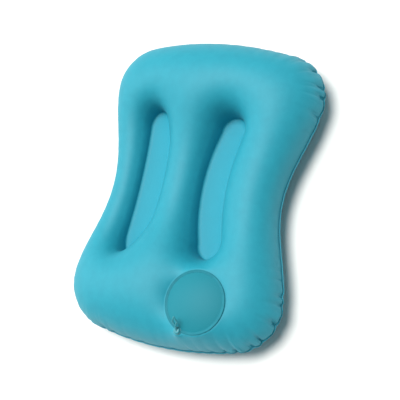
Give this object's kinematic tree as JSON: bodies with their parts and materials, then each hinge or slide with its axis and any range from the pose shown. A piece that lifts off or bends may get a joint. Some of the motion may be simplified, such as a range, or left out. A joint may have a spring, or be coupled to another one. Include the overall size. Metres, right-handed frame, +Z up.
{
  "type": "inflatable camp pillow",
  "caption": "Hourglass inflatable pillow with three lengthwise air ribs, a hand-press pump disc and a pull plug.",
  "frame": {"origin": "centre of the bounding box in plan, on the surface the pillow lies on", "axes": "+X along the pillow towards the pump end, +Y across it towards the wide neck roll, +Z up through the ribbed top panel"},
  "size_m": [0.444, 0.3276, 0.1045],
  "materials": {
    "top_knit": "matte brushed stretch knit, film laminated inside",
    "bottom_knit": "matte stretch knit, film laminated inside",
    "rim_film": "satin welded film",
    "cover_knit": "matte laminated knit",
    "cup_film": "satin film",
    "foam": "open-cell foam",
    "flap_film": "satin film",
    "valve_moulding": "satin moulding",
    "plug_moulding": "satin moulding"
  },
  "bodies": {
    "pillow": {"top_panel": "top_knit", "bottom_panel": "bottom_knit", "pump_rim": "rim_film", "pump_cup": "cup_film", "pump_foam": "foam", "valve_seat": "valve_moulding"},
    "pump_cover": {"pump_cover": "cover_knit"},
    "check_flap": {"check_flap": "flap_film"},
    "valve_plug": {"valve_plug": "plug_moulding"}
  },
  "joints": [
    {"name": "pump_press", "type": "slide", "parent": "pillow", "child": "pump_cover", "axis": [0, 0, -1], "range_m": [0, 0.008], "stiffness_N_per_m": 300, "springref_m": -0.004, "deforming": ["pump_foam"]},
    {"name": "flap_hinge", "type": "hinge", "parent": "pillow", "child": "check_flap", "pos_m": [0.146, 0.058, 0.0596], "axis": [0, 1, 0], "range_deg": [0, 40], "stiffness_Nm_per_rad": 0.0005, "springref_deg": -17.19},
    {"name": "plug_pull", "type": "slide", "parent": "pillow", "child": "valve_plug", "axis": [0, 0, 1], "range_m": [0, 0.012]}
  ]
}
